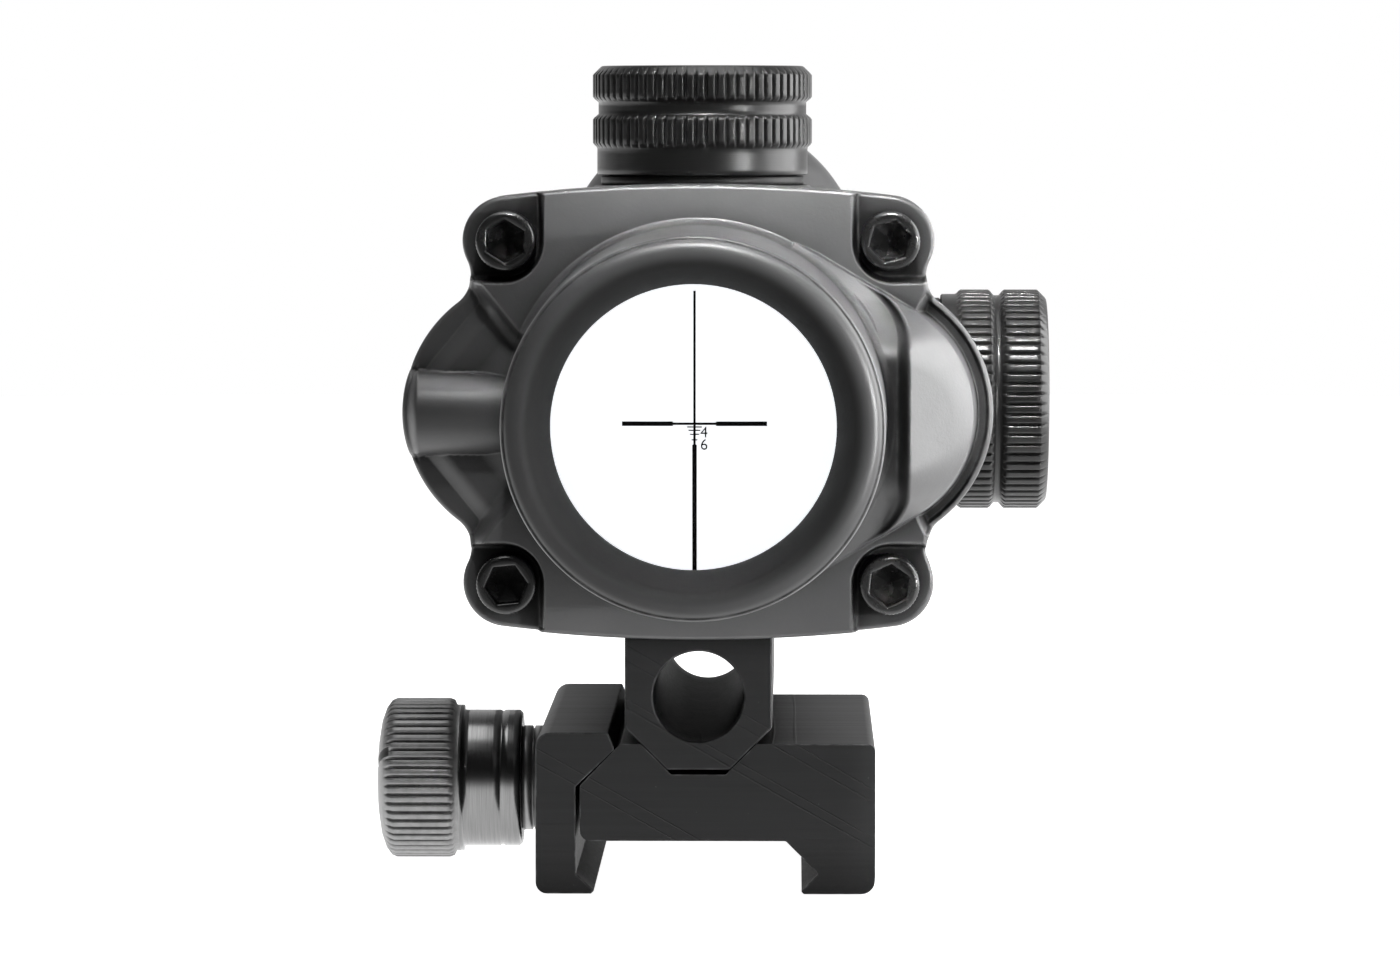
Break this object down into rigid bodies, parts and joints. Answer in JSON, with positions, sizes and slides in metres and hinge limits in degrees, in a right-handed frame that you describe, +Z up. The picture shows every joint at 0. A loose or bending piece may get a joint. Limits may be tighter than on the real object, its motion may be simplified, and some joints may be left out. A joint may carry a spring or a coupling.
{
  "type": "telescopic sight",
  "caption": "Compact fixed-power prismatic telescopic sight with capped elevation and windage turrets, on a see-through riser and a thumb-screw rail clamp.",
  "frame": {"origin": "middle of the flat rail seat under the clamp: centre of the rail's width and of the clamp's length", "axes": "+X right seen from the eyepiece, +Y forwards along the optical axis from eyepiece to objective, +Z up"},
  "size_m": [0.0612, 0.15, 0.0731],
  "materials": {
    "cast_black": "satin black coat over fine die-cast grain",
    "machined_black": "black anodised, fine machining lines",
    "knurled_black": "black anodised, knurled bands",
    "turned_black": "black anodised, lathe turned",
    "spacer_black": "matt black anodised, ribbed against glare",
    "knob_steel": "grey phosphated steel, turned rings and knurl",
    "bolt_steel": "oiled steel",
    "screw_black": "black oxide",
    "spring_steel": "polished spring steel",
    "carriage_alloy": "matt black anodised",
    "dial_alloy": "satin clear anodised",
    "plunger_brass": "turned brass",
    "seal_rubber": "black nitrile rubber",
    "lens_glass": "coated optical glass",
    "prism_glass": "optical glass",
    "reticle_glass": "bright field seen through the eyepiece",
    "reticle_black": "etched and filled lines"
  },
  "bodies": {
    "sight_body": {"main_housing": "cast_black", "rear_cover": "cast_black", "rear_cover_gasket": "seal_rubber", "rear_cover_screws": "screw_black", "eye_lens": "lens_glass", "eye_lens_spacer": "spacer_black", "reticle_disc": "reticle_glass", "reticle_marks": "reticle_black", "field_lens_spacer": "spacer_black", "field_lens": "lens_glass", "eyepiece_retainer": "turned_black", "gimbal_base": "turned_black", "lower_return_spring": "spring_steel", "side_return_spring": "spring_steel", "light_baffle": "turned_black", "objective_crown_lens": "lens_glass", "objective_flint_lens": "lens_glass", "objective_oring": "seal_rubber", "objective_retainer": "turned_black", "riser_block": "machined_black", "riser_screws": "bolt_steel", "clamp_base": "machined_black", "clamp_base_bolts": "bolt_steel", "clamp_nut": "bolt_steel", "elevation_turret_base": "turned_black", "elevation_detent_spring": "spring_steel", "elevation_detent_ball": "spring_steel", "elevation_cap_oring": "seal_rubber", "windage_turret_base": "turned_black", "windage_detent_spring": "spring_steel", "windage_detent_ball": "spring_steel", "windage_cap_oring": "seal_rubber"},
    "clamp_jaw": {"clamp_jaw": "machined_black"},
    "clamp_knob": {"clamp_knob": "knob_steel", "clamp_bolt": "bolt_steel", "clamp_washer": "bolt_steel"},
    "gimbal_ring": {"gimbal_ring": "carriage_alloy", "gimbal_pins": "spring_steel"},
    "prism_carriage": {"prism_carriage": "carriage_alloy", "half_penta_prism": "prism_glass", "roof_prism": "prism_glass", "prism_clip": "spring_steel"},
    "elevation_cap_seal": {"elevation_cap_seal": "seal_rubber"},
    "elevation_cap": {"elevation_cap": "knurled_black"},
    "elevation_dial": {"elevation_dial": "dial_alloy"},
    "elevation_plunger": {"elevation_plunger": "plunger_brass"},
    "windage_cap_seal": {"windage_cap_seal": "seal_rubber"},
    "windage_cap": {"windage_cap": "knurled_black"},
    "windage_dial": {"windage_dial": "dial_alloy"},
    "windage_plunger": {"windage_plunger": "plunger_brass"}
  },
  "joints": [
    {"name": "jaw_slide", "type": "slide", "parent": "sight_body", "child": "clamp_jaw", "axis": [-1, 0, 0], "range_m": [0, 0.003]},
    {"name": "knob_turn", "type": "hinge", "parent": "clamp_jaw", "child": "clamp_knob", "pos_m": [-0.02, 0, 0.0031], "axis": [-1, 0, 0], "range_deg": [0, 1080]},
    {"name": "elevation_cap_lift", "type": "slide", "parent": "sight_body", "child": "elevation_cap_seal", "axis": [0, 0, 1], "range_m": [0, 0.0045]},
    {"name": "elevation_cap_turn", "type": "hinge", "parent": "elevation_cap_seal", "child": "elevation_cap", "pos_m": [0, 0, 0.038], "axis": [0, 0, 1], "range_deg": [0, 1620]},
    {"name": "elevation_dial_turn", "type": "hinge", "parent": "sight_body", "child": "elevation_dial", "pos_m": [0, 0, 0.038], "axis": [0, 0, 1], "range_deg": [-540, 540]},
    {"name": "elevation_plunger_slide", "type": "slide", "parent": "sight_body", "child": "elevation_plunger", "axis": [0, 0, 1], "range_m": [-0.00075, 0.00075]},
    {"name": "windage_cap_lift", "type": "slide", "parent": "sight_body", "child": "windage_cap_seal", "axis": [1, 0, 0], "range_m": [0, 0.0045]},
    {"name": "windage_cap_turn", "type": "hinge", "parent": "windage_cap_seal", "child": "windage_cap", "pos_m": [0, 0, 0.038], "axis": [1, 0, 0], "range_deg": [0, 1620]},
    {"name": "windage_dial_turn", "type": "hinge", "parent": "sight_body", "child": "windage_dial", "pos_m": [0, 0, 0.038], "axis": [1, 0, 0], "range_deg": [-540, 540]},
    {"name": "windage_plunger_slide", "type": "slide", "parent": "sight_body", "child": "windage_plunger", "axis": [1, 0, 0], "range_m": [-0.00075, 0.00075]},
    {"name": "carriage_tilt", "type": "hinge", "parent": "sight_body", "child": "gimbal_ring", "pos_m": [0, -0.0145, 0.038], "axis": [1, 0, 0], "range_deg": [-3, 3], "deforming": ["lower_return_spring"]},
    {"name": "carriage_swing", "type": "hinge", "parent": "gimbal_ring", "child": "prism_carriage", "pos_m": [0, -0.0145, 0.038], "axis": [0, 0, 1], "range_deg": [-3, 3], "deforming": ["side_return_spring"]}
  ],
  "couplings": [
    {"joint": "knob_turn", "follows": "jaw_slide", "rad_per_m": 6283.2},
    {"joint": "elevation_cap_turn", "follows": "elevation_cap_lift", "rad_per_m": 6283.2},
    {"joint": "elevation_dial_turn", "follows": "elevation_plunger_slide", "rad_per_m": 12566},
    {"joint": "windage_cap_turn", "follows": "windage_cap_lift", "rad_per_m": 6283.2},
    {"joint": "windage_dial_turn", "follows": "windage_plunger_slide", "rad_per_m": 12566},
    {"joint": "carriage_tilt", "follows": "elevation_plunger_slide", "rad_per_m": 68.966},
    {"joint": "carriage_swing", "follows": "windage_plunger_slide", "rad_per_m": -68.966}
  ]
}
